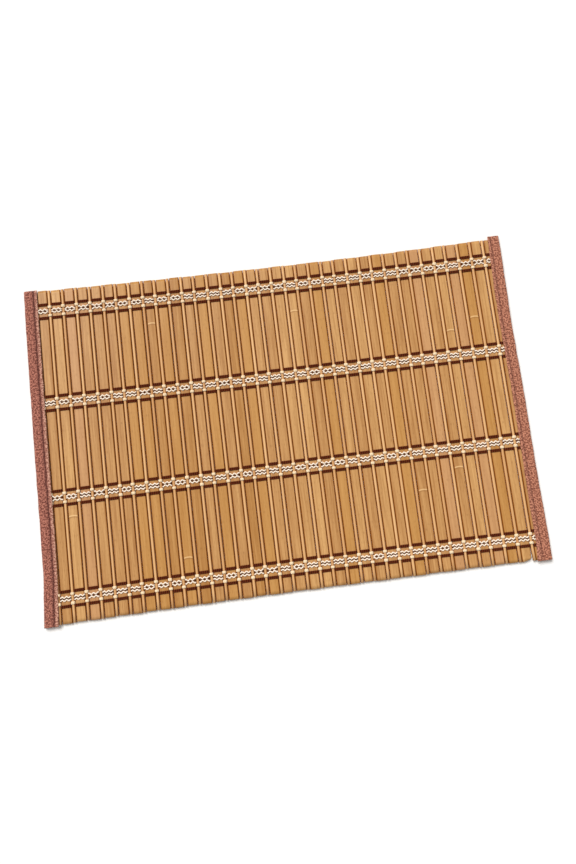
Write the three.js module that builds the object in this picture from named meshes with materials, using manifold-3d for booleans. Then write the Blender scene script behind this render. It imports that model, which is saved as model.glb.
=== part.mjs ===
// Bamboo placemat: flat slats and thin sticks side by side, woven together by four bands of yarn,
// with a folded tape sewn over each short side. Millimetres, +Z up, origin at the middle of the
// underside. X runs along the mat's long side, Y along the slats.
import * as THREE from 'three';
import * as BufferGeometryUtils from 'three/addons/utils/BufferGeometryUtils.js';
import Module from 'manifold-3d';

const wasm = await Module();
wasm.setup();

// Slats and sticks. W is a wide slat and N a narrow one, from left to right, with a stick before
// each one but the first, which is hidden in the left tape.
const slatRun = 'NWWWWWNWWNWWNWWNWNWWNWWNWWNWWNWWNWWWW';
const slatWidth = { W: 7.8, N: 6.8 };
const slatThickness = 1.2;
const slatUnderside = 1.6;
const stickWidth = 2.2;
const stickHeight = 2.3;
const stickUnderside = 0.8;
const stickSides = 6;
const gapBeside = 1.17;
const firstStick = -212;
const slatTopEnd = 149.1;
const slatBottomEnd = -149.4;
const endUnevenness = 0.4;
const endPhases = { slatTop: 0, stickTop: 1, slatBottom: 3, stickBottom: 4 };
const endPhaseStep = 2.4;

// How the real mat strays from a true rectangle
const leanPerMm = 0.003;
const spacingDrift = 2.3;
const halfLength = 212;
const fanBothEnds = 0.0125;
const fanTowardsLeft = 0.0065;
const rightEndsRise = 1.1;
const riseFrom = 60;

// Yarn bands: where each band lies, and the yarns of one band by their place across it
const bandRows = [129.4, 44, -41.2, -128.6];
const brownYarn = { offset: 6.3, width: 2.6 };
const whiteYarns = { width: 5.2 };
const creamYarn = { offset: 3.95, width: 1.5 };
const yarnThickness = 0.5;
const airGap = 0.3;
const creamUnderside = 0.85;
const creamThickness = 0.45;
const creamOverrun = 1.5;

// Tape bindings: their edges as they really run, from the far end to the near one
const leftTapeRows = [
  { y: 152.6, outer: -222.2, inner: -209.6 },
  { y: 100, outer: -223, inner: -210.2 },
  { y: 0, outer: -223.8, inner: -210.8 },
  { y: -70, outer: -224, inner: -211 },
  { y: -112, outer: -224.4, inner: -211.5 },
  { y: -134, outer: -225.8, inner: -212.6 },
  { y: -153.6, outer: -227.1, inner: -213.9 },
];
const rightTapeRows = [
  { y: 153.6, outer: 227.1, inner: 215.9 },
  { y: 128, outer: 226.8, inner: 215.2 },
  { y: 100, outer: 226.2, inner: 214.2 },
  { y: 68, outer: 225.5, inner: 214 },
  { y: 8, outer: 226, inner: 214.6 },
  { y: -66, outer: 225.4, inner: 214.2 },
  { y: -110, outer: 225.8, inner: 214.4 },
  { y: -132, outer: 226, inner: 214.8 },
  { y: -150.2, outer: 225.8, inner: 212.2 },
];
const tapeThickness = 1;
const tapeUnderLeaf = 9;
const leftStitchRow = 8.2;
const rightStitchRow = 7.5;

// Heights of the tape's middle line, from its under leaf over the fold to its free edge
const tapeHeights = {
  underLeaf: 0.5,
  foldFoot: 1.3,
  foldHead: 2.8,
  shoulder: 3.65,
  crown: 3.85,
  stitches: 3.65,
  freeEdge: 3.95,
};
const tapeFoldRadius = 1.2;

const bamboo = { color: 0xcd9a60, roughness: 0.55, metalness: 0 };
const paleBamboo = { color: 0xddb27e, roughness: 0.45, metalness: 0 };
const brownThread = { color: 0x4b2020, roughness: 0.9, metalness: 0 };
const whiteThread = { color: 0xfff0e0, roughness: 0.85, metalness: 0 };
const tapeCloth = { color: 0xae6e5e, roughness: 0.95, metalness: 0 };

// Places that the weave gives every piece
function leanAt(y) {
  return leanPerMm * y;
}

function rowAt(x, y) {
  const share = x / halfLength;
  return y * (1 + fanBothEnds * share * share - fanTowardsLeft * share);
}

// The slats and sticks towards the right lie a little further from the near edge
function riseAt(x) {
  return rightEndsRise * THREE.MathUtils.smoothstep(x, riseFrom, halfLength);
}

function unevenEnd(index, phase) {
  return endUnevenness * Math.sin(endPhaseStep * index + phase);
}

function makeSticks() {
  const sticks = [];
  let run = firstStick;
  for (let i = 0; i < slatRun.length - 1; i++) {
    const share = run / halfLength;
    sticks.push(run + spacingDrift * (1 - share * share) ** 2);
    run += slatWidth[slatRun[i + 1]] + 2 * gapBeside + stickWidth;
  }
  return sticks;
}

const stickPlaces = makeSticks();

// A slat lies midway between its two sticks, and the first and last lie beside their one stick
function slatPlace(index) {
  const width = slatWidth[slatRun[index]];
  const reach = stickWidth / 2 + gapBeside + width / 2;
  if (index === 0) return stickPlaces[0] - reach;
  if (index === stickPlaces.length) return stickPlaces[index - 1] + reach;
  return (stickPlaces[index - 1] + stickPlaces[index]) / 2;
}

// A closed skin through rings of points, each ring running counterclockwise seen from the last
function loft(rings, outline) {
  const sides = outline.length;
  const positions = rings.flat(2);
  const index = [];
  for (let ring = 0; ring + 1 < rings.length; ring++) {
    for (let side = 0; side < sides; side++) {
      const next = (side + 1) % sides;
      const a = ring * sides + side;
      const b = ring * sides + next;
      index.push(a, b, a + sides, b, b + sides, a + sides);
    }
  }
  const last = (rings.length - 1) * sides;
  for (const [a, b, c] of THREE.ShapeUtils.triangulateShape(outline, [])) {
    index.push(a, c, b);
    index.push(last + a, last + b, last + c);
  }
  const geometry = new THREE.BufferGeometry();
  geometry.setAttribute('position', new THREE.Float32BufferAttribute(positions, 3));
  geometry.setIndex(index);
  geometry.computeVertexNormals();
  return geometry;
}

// A yarn with a flat underside and a ridge, along a path of (x, z) points with mitred corners.
// rowOf gives the yarn's y at each x.
function yarnGeometry(path, rowOf, width, thickness) {
  const outline = [
    new THREE.Vector2(-width / 2, -thickness / 2),
    new THREE.Vector2(width / 2, -thickness / 2),
    new THREE.Vector2(0, thickness / 2),
  ];
  const normals = path.slice(1).map((point, i) => {
    const step = point.clone().sub(path[i]).normalize();
    return new THREE.Vector2(-step.y, step.x);
  });
  const rings = path.map((point, i) => {
    const before = normals[Math.max(i - 1, 0)];
    const after = normals[Math.min(i, normals.length - 1)];
    const mitre = before.clone().add(after).divideScalar(1 + before.dot(after));
    const y = rowOf(point.x);
    return outline.map((corner) => {
      return [point.x + mitre.x * corner.y, y + corner.x, point.y + mitre.y * corner.y];
    });
  });
  return loft(rings, outline);
}

// The brown and white yarns run over every slat and under every stick but the first
function overSlatsPath(row) {
  const high = slatUnderside + slatThickness + airGap + yarnThickness / 2;
  const low = yarnThickness / 2;
  const lean = leanAt(row);
  const start = Math.max(
    slatPlace(1) + lean - slatWidth.W / 2 + airGap,
    tapeEdge(leftTapeRows, 'inner', row) + airGap,
  );
  const path = [new THREE.Vector2(start, high)];
  for (let i = 1; i < stickPlaces.length; i++) {
    const stick = stickPlaces[i] + lean;
    const slatBefore = slatPlace(i) + lean + slatWidth[slatRun[i]] / 2;
    const slatAfter = slatPlace(i + 1) + lean - slatWidth[slatRun[i + 1]] / 2;
    const down = (slatBefore + stick - stickWidth / 2) / 2;
    const up = (stick + stickWidth / 2 + slatAfter) / 2;
    path.push(new THREE.Vector2(down, high), new THREE.Vector2(down, low));
    path.push(new THREE.Vector2(up, low), new THREE.Vector2(up, high));
  }
  path.push(new THREE.Vector2(tapeEdge(rightTapeRows, 'inner', row) - airGap, high));
  return path;
}

// Where a tape's edge lies at a height y on the mat, between the rows of its table
function tapeEdge(rows, edge, y) {
  const next = rows.findIndex((row) => row.y < y);
  const above = rows[next - 1];
  const below = rows[next];
  return THREE.MathUtils.mapLinear(y, above.y, below.y, above[edge], below[edge]);
}

// The tape's cross-section: an under leaf, the fold, and an upper leaf that dips at its stitches
// and rises again to its free edge. reach is the distance from the fold towards the mat's middle,
// and the outline has it to the left, as the section is seen from the last ring of the loft.
function tapeOutline(width, stitchRow) {
  const half = tapeThickness / 2;
  const centre = [
    { reach: tapeUnderLeaf, z: tapeHeights.underLeaf },
    { reach: tapeFoldRadius, z: tapeHeights.underLeaf },
    { reach: half, z: tapeHeights.foldFoot },
    { reach: half, z: tapeHeights.foldHead },
    { reach: tapeFoldRadius, z: tapeHeights.shoulder },
    { reach: stitchRow / 2, z: tapeHeights.crown },
    { reach: stitchRow, z: tapeHeights.stitches },
    { reach: (stitchRow + width) / 2, z: tapeHeights.freeEdge },
    { reach: width, z: tapeHeights.freeEdge },
  ];
  const outer = [];
  const inner = [];
  centre.forEach((point, i) => {
    const before = centre[Math.max(i - 1, 0)];
    const after = centre[Math.min(i + 1, centre.length - 1)];
    const along = new THREE.Vector2(after.reach - before.reach, after.z - before.z).normalize();
    outer.push(new THREE.Vector2(along.y * half - point.reach, point.z + along.x * half));
    inner.push(new THREE.Vector2(-along.y * half - point.reach, point.z - along.x * half));
  });
  return [...outer, ...inner.reverse()];
}

function tapeGeometry(rows, stitchRow, towardsMiddle) {
  const ordered = towardsMiddle > 0 ? [...rows].reverse() : rows;
  const rings = ordered.map((row) => {
    const width = Math.abs(row.inner - row.outer);
    const outline = tapeOutline(width, stitchRow);
    return outline.map((point) => [row.outer - towardsMiddle * point.x, row.y, point.y]);
  });
  const first = Math.abs(ordered[0].inner - ordered[0].outer);
  return loft(rings, tapeOutline(first, stitchRow));
}

// Booleans: a closed geometry as a solid, and a solid back as a geometry
function toSolid(geometry) {
  const bare = geometry.clone();
  bare.deleteAttribute('normal');
  bare.deleteAttribute('uv');
  const merged = BufferGeometryUtils.mergeVertices(bare);
  const mesh = new wasm.Mesh({
    numProp: 3,
    vertProperties: new Float32Array(merged.attributes.position.array),
    triVerts: new Uint32Array(merged.index.array),
  });
  return new wasm.Manifold(mesh);
}

function toGeometry(solid) {
  const mesh = solid.getMesh();
  const geometry = new THREE.BufferGeometry();
  const positions = new THREE.Float32BufferAttribute(mesh.vertProperties, mesh.numProp);
  geometry.setAttribute('position', positions);
  geometry.setIndex(new THREE.Uint32BufferAttribute(mesh.triVerts, 1));
  geometry.computeVertexNormals();
  return geometry;
}

// The stick is made straight here, and the whole lattice is moved to its true places at the end
function stickGeometry(index) {
  const x = stickPlaces[index];
  const top = slatTopEnd + riseAt(x) + unevenEnd(index, endPhases.stickTop);
  const bottom = slatBottomEnd + riseAt(x) + unevenEnd(index, endPhases.stickBottom);
  const radius = stickWidth / 2 / Math.cos(Math.PI / stickSides);
  const geometry = new THREE.CylinderGeometry(radius, radius, top - bottom, stickSides);
  geometry.scale(1, 1, stickHeight / 2 / radius);
  geometry.translate(x, (top + bottom) / 2, stickUnderside + stickHeight / 2);
  return geometry;
}

// The cream yarns run under the slats and through the foot of every stick, where they hold it
function creamGeometry(row) {
  const z = creamUnderside + creamThickness / 2;
  const path = [
    new THREE.Vector2(stickPlaces[0], z),
    new THREE.Vector2(stickPlaces.at(-1) + creamOverrun, z),
  ];
  return yarnGeometry(path, () => row, creamYarn.width, creamThickness);
}

function latticeGeometry() {
  let lattice = toSolid(stickGeometry(0));
  for (let i = 1; i < stickPlaces.length; i++) {
    lattice = lattice.add(toSolid(stickGeometry(i)));
  }
  for (const row of bandRows) {
    for (const side of [1, -1]) {
      lattice = lattice.add(toSolid(creamGeometry(row + side * creamYarn.offset)));
    }
  }
  const geometry = toGeometry(lattice);
  const points = geometry.attributes.position;
  for (let i = 0; i < points.count; i++) {
    const y = rowAt(points.getX(i), points.getY(i));
    points.setXY(i, points.getX(i) + leanAt(y), y);
  }
  return geometry;
}

const placemat = new THREE.Group();

function addPiece(name, geometry, finish) {
  const mesh = new THREE.Mesh(geometry, new THREE.MeshStandardMaterial(finish));
  mesh.name = name;
  placemat.add(mesh);
  return mesh;
}

function addSlats() {
  for (let i = 0; i < slatRun.length; i++) {
    const x = slatPlace(i);
    const top = rowAt(x, slatTopEnd + riseAt(x)) + unevenEnd(i, endPhases.slatTop);
    const bottom = rowAt(x, slatBottomEnd + riseAt(x)) + unevenEnd(i, endPhases.slatBottom);
    const middle = (top + bottom) / 2;
    const geometry = new THREE.BoxGeometry(slatWidth[slatRun[i]], top - bottom, slatThickness);
    const slat = addPiece(`slat_${String(i + 1).padStart(2, '0')}`, geometry, bamboo);
    slat.position.set(x + leanAt(middle), middle, slatUnderside + slatThickness / 2);
    slat.rotation.z = -Math.atan(leanPerMm);
  }
}

function overSlatsGeometry(row, width) {
  return yarnGeometry(overSlatsPath(row), (x) => rowAt(x, row), width, yarnThickness);
}

function addYarns() {
  bandRows.forEach((row, band) => {
    for (const [side, sign] of [['far', 1], ['near', -1]]) {
      const geometry = overSlatsGeometry(row + sign * brownYarn.offset, brownYarn.width);
      addPiece(`brown_yarn_${band + 1}_${side}`, geometry, brownThread);
    }
    addPiece(`white_yarns_${band + 1}`, overSlatsGeometry(row, whiteYarns.width), whiteThread);
  });
}

addSlats();
addPiece('sticks_and_cream_yarns', latticeGeometry(), paleBamboo);
addYarns();
addPiece('tape_left', tapeGeometry(leftTapeRows, leftStitchRow, 1), tapeCloth);
addPiece('tape_right', tapeGeometry(rightTapeRows, rightStitchRow, -1), tapeCloth);

export default placemat;
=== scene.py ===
# Bamboo placemat, dressed around its fixed solids. Metres unless said, +Z up, origin under its middle.
import bmesh
import bpy
import math
import random
from mathutils import Euler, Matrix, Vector, noise


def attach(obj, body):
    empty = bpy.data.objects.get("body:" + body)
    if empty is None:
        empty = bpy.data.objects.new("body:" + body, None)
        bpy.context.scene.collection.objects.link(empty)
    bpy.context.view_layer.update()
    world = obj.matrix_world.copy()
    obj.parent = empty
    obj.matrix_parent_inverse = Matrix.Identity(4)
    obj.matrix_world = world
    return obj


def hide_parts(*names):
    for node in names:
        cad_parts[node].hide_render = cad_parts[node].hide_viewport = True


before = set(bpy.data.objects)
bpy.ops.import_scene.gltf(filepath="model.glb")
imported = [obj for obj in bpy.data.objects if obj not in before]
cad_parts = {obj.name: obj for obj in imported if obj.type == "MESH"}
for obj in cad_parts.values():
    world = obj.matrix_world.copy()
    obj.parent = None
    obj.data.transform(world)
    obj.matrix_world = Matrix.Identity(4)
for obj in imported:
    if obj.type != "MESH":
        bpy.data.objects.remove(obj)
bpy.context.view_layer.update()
mm = 0.001
print("frame loaded")

# The mat's layout, in millimetres: W is a wide slat and N a narrow one, with a stick between each two
mat = {
    "slatRun": "NWWWWWNWWNWWNWWNWNWWNWWNWWNWWNWWNWWWW",
    "slatWidth": {"W": 7.8, "N": 6.8},
    "slatTop": 2.8,
    "slatUnderside": 1.6,
    "stickWidth": 2.2,
    "stickTop": 3.1,
    "stickUnderside": 0.8,
    "gapBeside": 1.17,
    "firstStick": -212,
    "slatEnds": (149.1, -149.4),
    "endUnevenness": 0.25,
    "endBeat": 2.4,  # how fast the unevenness goes from one end to the next
    "endPhases": {"slatFar": 0, "slatNear": 3, "stickFar": 1, "stickNear": 4},
    "rightEndsRise": 1.1,
    "riseFrom": 60,
    "lean": 0.003,
    "spacingDrift": 2.3,
    "halfLength": 212,
    "fanBothEnds": 0.0125,
    "fanTowardsLeft": 0.0065,
    "bandRows": (129.4, 44, -41.2, -128.6),
}


def rowAt(x, y):
    share = x / mat["halfLength"]
    return y * (1 + mat["fanBothEnds"] * share * share - mat["fanTowardsLeft"] * share)


def riseAt(x):  # how much further back the ends lie towards the right
    share = min(max((x - mat["riseFrom"]) / (mat["halfLength"] - mat["riseFrom"]), 0.0), 1.0)
    return mat["rightEndsRise"] * share * share * (3 - 2 * share)


def widthOf(index):
    return mat["slatWidth"][mat["slatRun"][index]]


def findSticks():
    places = []
    run = mat["firstStick"]
    for letter in mat["slatRun"][1:]:
        share = run / mat["halfLength"]
        places.append(run + mat["spacingDrift"] * (1 - share * share) ** 2)
        run += mat["slatWidth"][letter] + 2 * mat["gapBeside"] + mat["stickWidth"]
    return places


stickPlaces = findSticks()


def slatPlace(index):
    reach = mat["stickWidth"] / 2 + mat["gapBeside"] + widthOf(index) / 2
    if index == 0:
        return stickPlaces[0] - reach
    if index == len(stickPlaces):
        return stickPlaces[-1] + reach
    return (stickPlaces[index - 1] + stickPlaces[index]) / 2


def unevenEnd(index, which):
    return mat["endUnevenness"] * math.sin(mat["endBeat"] * index + mat["endPhases"][which])


def between(low, high, share):
    return low + (high - low) * share


# Node helpers, for geometry and materials alike
def plug(tree, socket, value):
    if isinstance(value, bpy.types.NodeSocket):
        tree.links.new(value, socket)
    else:
        socket.default_value = value


def addNode(tree, kind, inputs=None, **settings):
    made = tree.nodes.new(kind)
    for key, value in settings.items():
        setattr(made, key, value)
    for key, value in (inputs or {}).items():
        plug(tree, made.inputs[key], value)
    return made


def calc(tree, operation, *values):
    made = addNode(tree, "ShaderNodeMath", operation=operation)
    for socket, value in zip(made.inputs, values):
        plug(tree, socket, value)
    return made.outputs[0]


def blendNumber(tree, value, fromMin, fromMax, toMin, toMax, smooth=True):
    made = addNode(
        tree,
        "ShaderNodeMapRange",
        {"Value": value, "From Min": fromMin, "From Max": fromMax, "To Min": toMin, "To Max": toMax},
        interpolation_type="SMOOTHSTEP" if smooth else "LINEAR",
    )
    return made.outputs["Result"]


def joinVector(tree, x, y, z):
    return addNode(tree, "ShaderNodeCombineXYZ", {"X": x, "Y": y, "Z": z}).outputs[0]


def splitVector(tree, vector):
    return addNode(tree, "ShaderNodeSeparateXYZ", {0: vector}).outputs


def scaled(tree, value, factor):
    return calc(tree, "MULTIPLY", value, factor)


def grainNoise(tree, vector, scale=1.0, detail=2.0):
    inputs = {"Vector": vector, "Scale": scale, "Detail": detail}
    return addNode(tree, "ShaderNodeTexNoise", inputs).outputs["Fac"]


def startTree(name, counts, measures):
    tree = bpy.data.node_groups.new(name, "GeometryNodeTree")
    sockets = [("Geometry", "Geometry"), ("Finish", "Material")]
    sockets += [(label, "Int") for label in counts]
    sockets += [(label, "Float") for label in measures]
    for label, kind in sockets:
        tree.interface.new_socket(label, in_out="INPUT", socket_type=f"NodeSocket{kind}")
    tree.interface.new_socket("Geometry", in_out="OUTPUT", socket_type="NodeSocketGeometry")
    return tree, tree.nodes.new("NodeGroupInput").outputs


def endTree(tree, geometry, material, smooth=True):
    shaded = addNode(tree, "GeometryNodeSetShadeSmooth", {"Geometry": geometry, "Shade Smooth": smooth})
    real = addNode(tree, "GeometryNodeRealizeInstances", {0: shaded.outputs[0]})
    coloured = addNode(tree, "GeometryNodeSetMaterial", {0: real.outputs[0], "Material": material})
    out = tree.nodes.new("NodeGroupOutput")
    tree.links.new(coloured.outputs[0], out.inputs[0])
    return tree


def guideObject(name, rows, edges=()):  # each row has "at" and the same names of numbers
    mesh = bpy.data.meshes.new(name)
    mesh.from_pydata([row["at"] for row in rows], edges, [])
    for key in rows[0]:
        if key != "at":
            layer = mesh.attributes.new(key, "FLOAT", "POINT")
            layer.data.foreach_set("value", [float(row[key]) for row in rows])
    guide = bpy.data.objects.new(name, mesh)
    bpy.context.scene.collection.objects.link(guide)
    return guide


def grow(guide, tree, values):
    modifier = guide.modifiers.new("grow", "NODES")
    modifier.node_group = tree
    for item in tree.interface.items_tree:
        if item.item_type == "SOCKET" and item.in_out == "INPUT" and item.name in values:
            modifier[item.identifier] = values[item.name]
    graph = bpy.context.evaluated_depsgraph_get()
    made = bpy.data.meshes.new_from_object(guide.evaluated_get(graph), depsgraph=graph)
    guide.modifiers.clear()
    bare = guide.data
    guide.data = made
    bpy.data.meshes.remove(bare)
    made.name = guide.name
    print(guide.name, len(made.polygons), "faces")
    return guide


def attribute(tree, name):
    made = addNode(tree, "GeometryNodeInputNamedAttribute", {"Name": name}, data_type="FLOAT")
    return made.outputs["Attribute"]


def store(tree, geometry, name, value, kind="FLOAT"):
    made = addNode(
        tree,
        "GeometryNodeStoreNamedAttribute",
        {"Geometry": geometry, "Name": name, "Value": value},
        data_type=kind,
        domain="POINT",
    )
    return made.outputs[0]


def position(tree):
    return tree.nodes.new("GeometryNodeInputPosition").outputs[0]


def moved(tree, geometry, offset=None, place=None):
    inputs = {"Geometry": geometry}
    if offset is not None:
        inputs["Offset"] = offset
    if place is not None:
        inputs["Position"] = place
    return addNode(tree, "GeometryNodeSetPosition", inputs).outputs[0]


# Materials
def colour(red, green, blue):  # as seen on a screen, 0 to 255, made linear
    linear = [((c / 255 + 0.055) / 1.055) ** 2.4 if c > 10 else c / 255 / 12.92 for c in (red, green, blue)]
    return (*linear, 1.0)


def newMaterial(name, roughness, **constants):
    made = bpy.data.materials.new(name)
    made.use_nodes = True
    shader = made.node_tree.nodes["Principled BSDF"]
    shader.inputs["Roughness"].default_value = roughness
    for key, value in constants.items():
        shader.inputs[key.replace("_", " ")].default_value = value
    return made, made.node_tree, shader


def mixColour(tree, share, first, second):
    made = addNode(tree, "ShaderNodeMix", data_type="RGBA", blend_type="MIX")
    plug(tree, made.inputs[0], share)
    plug(tree, made.inputs[6], first)
    plug(tree, made.inputs[7], second)
    return made.outputs[2]


def shaderAttribute(tree, name):
    return addNode(tree, "ShaderNodeAttribute", attribute_name=name).outputs


def bump(tree, shader, height, look):
    inputs = {"Height": height, "Distance": look["relief"], "Strength": look["reliefShare"]}
    made = addNode(tree, "ShaderNodeBump", inputs)
    plug(tree, shader.inputs["Normal"], made.outputs[0])


# Each layer of fibres: times as wide, times as long, the noise's detail and the limits it is cut at
fibreLayers = {
    "Streaks": (1.0, 1.0, 3.0, 0.3, 0.7),
    "Bands": (6.0, 4.0, 1.0, 0.32, 0.68),
    "Pores": (0.7, 0.16, 0.0, 0.66, 0.8),
}


# Bamboo fibres that run along Y: light and dark streaks, wider bands and short dark pores
def fibreGroup():
    group = bpy.data.node_groups.new("bambooFibres", "ShaderNodeTree")
    for label, kind in (("Place", "Vector"), ("Width", "Float"), ("Length", "Float")):
        group.interface.new_socket(label, in_out="INPUT", socket_type=f"NodeSocket{kind}")
    for label in fibreLayers:
        group.interface.new_socket(label, in_out="OUTPUT", socket_type="NodeSocketFloat")
    given = group.nodes.new("NodeGroupInput").outputs
    out = group.nodes.new("NodeGroupOutput")
    across = calc(group, "DIVIDE", 1.0, given["Width"])
    along = calc(group, "DIVIDE", 1.0, given["Length"])
    for label, (wider, longer, detail, low, high) in fibreLayers.items():
        wide = calc(group, "DIVIDE", across, wider)
        scale = joinVector(group, wide, calc(group, "DIVIDE", along, longer), wide)
        inputs = {0: given["Place"], 1: scale}
        place = addNode(group, "ShaderNodeVectorMath", inputs, operation="MULTIPLY").outputs[0]
        grain = grainNoise(group, place, 1.0, detail)
        plug(group, out.inputs[label], blendNumber(group, grain, low, high, 0.0, 1.0))
    return group


fibres = fibreGroup()
# Painted shade over each yarn band: full to 4.6 mm from its middle, gone by 6.6 mm
paintedBandShade = {"colour": colour(140, 92, 54), "strength": 0.16, "from": 4.6 * mm, "to": 6.6 * mm}
slatLook = {
    "fibreWidth": 0.45 * mm,
    "fibreLength": 26 * mm,
    "fibreShares": {"streaks": 0.5, "bands": 0.35, "tone": 0.6},
    "darkening": 0.25,
    "dark": colour(158, 106, 54),
    "light": colour(208, 160, 102),
    "pink": colour(198, 148, 104),
    "gold": colour(188, 134, 66),
    "tintShare": 0.6,
    "pore": colour(116, 70, 30),
    "poreShare": 0.4,
    "ringArch": 0.7 * mm,
    "ringCore": 0.2 * mm,
    "ringFade": 0.9 * mm,
    "rings": [  # a pale line and a fainter dark one just below it: place, strength and colour
        (0.0, 0.6, colour(238, 198, 142)),
        (-1.2 * mm, 0.4, colour(134, 86, 42)),
    ],
    # the cane's darker edges, with painted shade of the gaps between slats and sticks
    "edge": colour(140, 76, 14),
    "edgeFrom": 0.88,
    "edgeTo": 0.96,
    "edgeShare": 0.92,
    "roughness": 0.5,
    "coat": 0.25,
    "relief": 0.06 * mm,
    "reliefShare": 0.6,
}
stickLook = {
    "fibreWidth": 0.3 * mm,
    "fibreLength": 40 * mm,
    "fibreShares": {"streaks": 0.35, "bands": 0.15, "tone": 0.6},
    "dark": colour(186, 130, 76),
    "light": colour(224, 178, 124),
    # Painted shade on the round stick's flanks, as if lit from the left: a narrow dark left flank and a wider
    # right one
    "paintedFlankShade": colour(146, 82, 20),
    "leftPaintedShade": (-0.55, -0.85, 0.0, 0.95),  # across from and to, with the painted shade's share there
    "rightPaintedShade": (0.3, 0.75, 0.0, 0.9),
    "roughness": 0.45,
    "coat": 0.3,
    "relief": 0.04 * mm,
    "reliefShare": 0.5,
}
bambooGloss = {"Specular_IOR_Level": 0.08, "Coat_Roughness": 0.35}


# Fibres placed on a material, with its colour's share from dark to light
def placeFibres(tree, look):
    group = tree.nodes.new("ShaderNodeGroup")
    group.node_tree = fibres
    plug(tree, group.inputs["Place"], addNode(tree, "ShaderNodeTexCoord").outputs["Object"])
    group.inputs["Width"].default_value = look["fibreWidth"]
    group.inputs["Length"].default_value = look["fibreLength"]
    shares = look["fibreShares"]
    tone = scaled(tree, shaderAttribute(tree, "tone")["Fac"], shares["tone"])
    share = calc(tree, "MULTIPLY_ADD", group.outputs["Streaks"], shares["streaks"], tone)
    share = calc(tree, "MULTIPLY_ADD", group.outputs["Bands"], shares["bands"], share)
    return group.outputs, share


# Within a band of yarns the bamboo is darker: painted shade cast by the yarns, on slats and sticks alike
def bandPaintedShade(tree, base):
    away = shaderAttribute(tree, "bandAway")["Fac"]
    share = blendNumber(tree, away, paintedBandShade["from"], paintedBandShade["to"], paintedBandShade["strength"], 0.0)
    return mixColour(tree, share, base, paintedBandShade["colour"])


def slatMaterial():
    look = slatLook
    made, tree, shader = newMaterial("slat_bamboo", look["roughness"], **bambooGloss)
    fibre, share = placeFibres(tree, look)
    base = mixColour(tree, calc(tree, "SUBTRACT", share, look["darkening"]), look["dark"], look["light"])
    for tint in ("pink", "gold"):
        share = scaled(tree, shaderAttribute(tree, tint)["Fac"], look["tintShare"])
        base = mixColour(tree, share, base, look[tint])
    base = mixColour(tree, scaled(tree, fibre["Pores"], look["poreShare"]), base, look["pore"])
    across = calc(tree, "ABSOLUTE", shaderAttribute(tree, "across")["Fac"])
    arch = scaled(tree, calc(tree, "MULTIPLY", across, across), look["ringArch"])
    away = calc(tree, "ADD", shaderAttribute(tree, "ringAway")["Fac"], arch)
    for middle, strength, tint in look["rings"]:
        off = calc(tree, "ABSOLUTE", calc(tree, "SUBTRACT", away, middle))
        share = blendNumber(tree, off, look["ringCore"], look["ringFade"], strength, 0.0)
        base = mixColour(tree, share, base, tint)
    base = bandPaintedShade(tree, base)
    # Darker edges towards the sides: the cane's own, and painted shade of the gaps
    edge = blendNumber(tree, across, look["edgeFrom"], look["edgeTo"], 0.0, look["edgeShare"])
    plug(tree, shader.inputs["Base Color"], mixColour(tree, edge, base, look["edge"]))
    plug(tree, shader.inputs["Coat Weight"], scaled(tree, calc(tree, "SUBTRACT", 1.0, edge), look["coat"]))
    bump(tree, shader, calc(tree, "SUBTRACT", fibre["Streaks"], fibre["Pores"]), look)
    return made


def stickMaterial():
    look = stickLook
    made, tree, shader = newMaterial("stick_bamboo", look["roughness"], **bambooGloss)
    fibre, share = placeFibres(tree, look)
    base = bandPaintedShade(tree, mixColour(tree, share, look["dark"], look["light"]))
    # Painted shade darkens both flanks, the right one more widely, as if lit from the left
    across = shaderAttribute(tree, "across")["Fac"]
    left = blendNumber(tree, across, *look["leftPaintedShade"])
    right = blendNumber(tree, across, *look["rightPaintedShade"])
    paintedFlankShade = calc(tree, "MAXIMUM", left, right)
    plug(tree, shader.inputs["Base Color"], mixColour(tree, paintedFlankShade, base, look["paintedFlankShade"]))
    plug(tree, shader.inputs["Coat Weight"], scaled(tree, calc(tree, "SUBTRACT", 1.0, paintedFlankShade), look["coat"]))
    bump(tree, shader, fibre["Streaks"], look)
    return made


threadLook = {
    "specular": 0.12,
    "sheenRoughness": 0.4,
    "fuzzScale": 3500.0,
    "twistShare": 0.35,
    "lightFrom": 0.2,
    "lightTo": 0.8,
    "relief": 0.12 * mm,
    "reliefShare": 0.8,
    "tints": {
        "brown": (colour(54, 16, 4), colour(108, 46, 18)),
        "core": (colour(56, 20, 4), colour(100, 46, 16)),
        "white": (colour(246, 220, 194), colour(255, 248, 234)),
        "cream": (colour(238, 204, 158), colour(255, 238, 208)),
    },
    "stripes": {"brown": 600.0, "core": 600.0, "white": 900.0, "cream": 700.0},  # for each metre
    "roughness": {"brown": 0.95, "core": 0.95, "white": 0.75, "cream": 0.75},
    "sheen": {"brown": 0.0, "core": 0.0, "white": 0.2, "cream": 0.3},
}


# A twisted thread. The attributes round and along lie on the thread's own surface.
def yarnMaterial(kind):
    look = threadLook
    made, tree, shader = newMaterial(
        f"{kind}_thread",
        look["roughness"][kind],
        Specular_IOR_Level=look["specular"],
        Sheen_Weight=look["sheen"][kind],
        Sheen_Roughness=look["sheenRoughness"],
    )
    x, y = splitVector(tree, shaderAttribute(tree, "round")["Vector"])[:2]
    turns = 2 * math.pi * look["stripes"][kind]
    angle = calc(tree, "MULTIPLY", shaderAttribute(tree, "along")["Fac"], turns)
    wave = calc(
        tree,
        "ADD",
        calc(tree, "MULTIPLY", x, calc(tree, "SINE", angle)),
        calc(tree, "MULTIPLY", y, calc(tree, "COSINE", angle)),
    )
    place = addNode(tree, "ShaderNodeTexCoord").outputs["Object"]
    fuzz = grainNoise(tree, place, look["fuzzScale"])
    height = calc(tree, "MULTIPLY_ADD", wave, look["twistShare"], fuzz)
    share = blendNumber(tree, height, look["lightFrom"], look["lightTo"], 0.0, 1.0)
    plug(tree, shader.inputs["Base Color"], mixColour(tree, share, *look["tints"][kind]))
    bump(tree, shader, height, look)
    return made


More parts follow.
